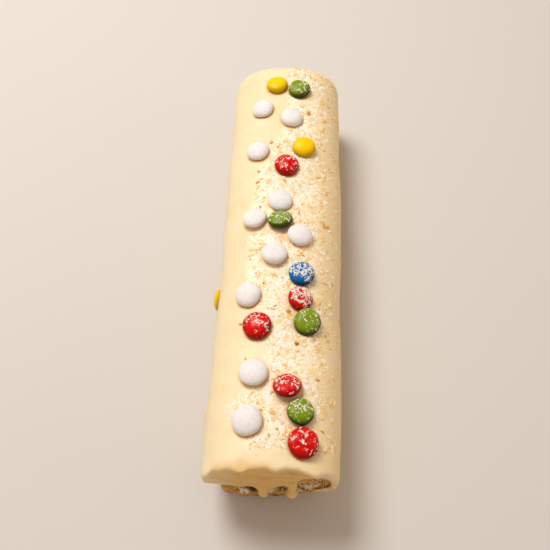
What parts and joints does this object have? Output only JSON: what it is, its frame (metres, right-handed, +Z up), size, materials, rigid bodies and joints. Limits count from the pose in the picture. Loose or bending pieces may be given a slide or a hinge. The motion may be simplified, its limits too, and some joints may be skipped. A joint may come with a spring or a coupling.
{
  "type": "swiss roll",
  "caption": "Whole rolled sponge with cream and chocolate filling, white-chocolate coating that drips over one open end, round sugar-shelled sweets on top.",
  "frame": {"origin": "on the surface it stands on, under the middle of the roll, at the centre of its flat base", "axes": "+Y along the roll, away from its open end with the drips; +Z up; +X to the right seen from the open end"},
  "size_m": [0.0759, 0.2777, 0.0709],
  "materials": {
    "coating": "set white chocolate, satin",
    "sponge": "open golden crumb",
    "cream": "soft whipped cream",
    "chocolate": "dark chocolate, soft sheen",
    "sweet_white": "dull sugar shell",
    "sweet_red": "glossy sugar shell",
    "sweet_green": "glossy sugar shell",
    "sweet_yellow": "glossy sugar shell",
    "sweet_blue": "glossy sugar shell",
    "crumbs": "dry biscuit crumb",
    "flakes": "pale dry flakes"
  },
  "bodies": {
    "root": {"coating": "coating", "sponge": "sponge", "cream_outer": "cream", "chocolate": "chocolate", "cream_inner": "cream", "sweet_01_yellow": "sweet_yellow", "sweet_02_green": "sweet_green", "sweet_03_white": "sweet_white", "sweet_04_white": "sweet_white", "sweet_05_yellow": "sweet_yellow", "sweet_06_white": "sweet_white", "sweet_07_red": "sweet_red", "sweet_08_white": "sweet_white", "sweet_09_white": "sweet_white", "sweet_10_green": "sweet_green", "sweet_11_white": "sweet_white", "sweet_12_white": "sweet_white", "sweet_13_blue": "sweet_blue", "sweet_14_white": "sweet_white", "sweet_15_red": "sweet_red", "sweet_16_green": "sweet_green", "sweet_17_red": "sweet_red", "sweet_18_white": "sweet_white", "sweet_19_red": "sweet_red", "sweet_20_green": "sweet_green", "sweet_21_white": "sweet_white", "sweet_22_red": "sweet_red", "sweet_23_yellow": "sweet_yellow"}
  },
  "joints": []
}
